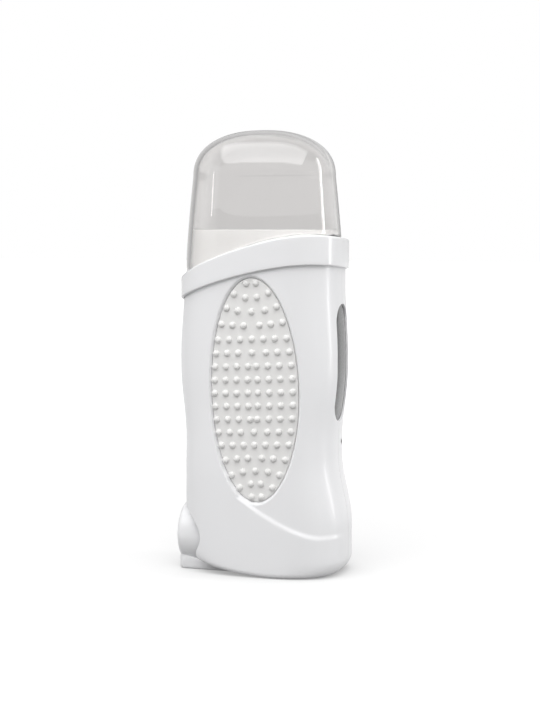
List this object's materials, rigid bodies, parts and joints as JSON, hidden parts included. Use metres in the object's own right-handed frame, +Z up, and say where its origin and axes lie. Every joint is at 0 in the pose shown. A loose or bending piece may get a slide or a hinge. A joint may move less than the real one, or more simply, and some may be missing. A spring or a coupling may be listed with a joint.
{
  "type": "roll on wax heater",
  "caption": "Hand-held heater for a roll-on wax cartridge, standing upright: white two-part body with an oval studded grip pad, level window, side inlet drum and clear domed cap.",
  "frame": {"origin": "middle of the body's plan, on the ground that it stands on", "axes": "+Z up, -Y out of the face with the oval grip pad, +X out of the side with the level window, -X out of the side with the mains inlet"},
  "size_m": [0.0804, 0.053, 0.2066],
  "materials": {
    "shell_plastic": "satin white",
    "pad_rubber": "matte warm white, soft to the touch",
    "collar_plastic": "satin white",
    "drum_plastic": "satin white",
    "chamber_plastic": "matte white",
    "clear_cap": "clear, polished",
    "clear_lens": "clear, polished",
    "spring_steel": "bright strip",
    "plate_aluminium": "mill finish",
    "element_ceramic": "dark matte",
    "insulation_film": "amber film",
    "fuse_case": "plated case",
    "lamp_glass": "clear, amber when lit",
    "resistor_ceramic": "lacquered",
    "insert_plastic": "dark matte",
    "pin_brass": "bright",
    "lead_brown": "silicone sleeve",
    "lead_blue": "silicone sleeve",
    "lead_clear": "silicone sleeve",
    "screw_steel": "zinc plated"
  },
  "bodies": {
    "heater": {"front_shell": "shell_plastic", "rear_shell": "shell_plastic", "grip_pad": "pad_rubber", "trim_collar": "collar_plastic", "neck_ring": "chamber_plastic", "cartridge_chamber": "chamber_plastic", "cartridge_spring": "spring_steel", "window_lens": "clear_lens", "heat_plate": "plate_aluminium", "heating_element": "element_ceramic", "insulation_sheet": "insulation_film", "element_clip": "spring_steel", "thermal_fuse": "fuse_case", "fuse_strap": "spring_steel", "indicator_lamp": "lamp_glass", "lamp_holder": "chamber_plastic", "lamp_resistor": "resistor_ceramic", "inlet_housing": "drum_plastic", "inlet_insert": "insert_plastic", "inlet_pins": "pin_brass", "live_lead": "lead_brown", "neutral_lead": "lead_blue", "fuse_lead": "lead_brown", "lamp_leads": "lead_clear", "shell_screws": "screw_steel"},
    "cap": {"travel_cap": "clear_cap"}
  },
  "joints": [
    {"name": "cap_lift", "type": "slide", "parent": "heater", "child": "cap", "axis": [0, 0, 1], "range_m": [0, 0.07]}
  ]
}
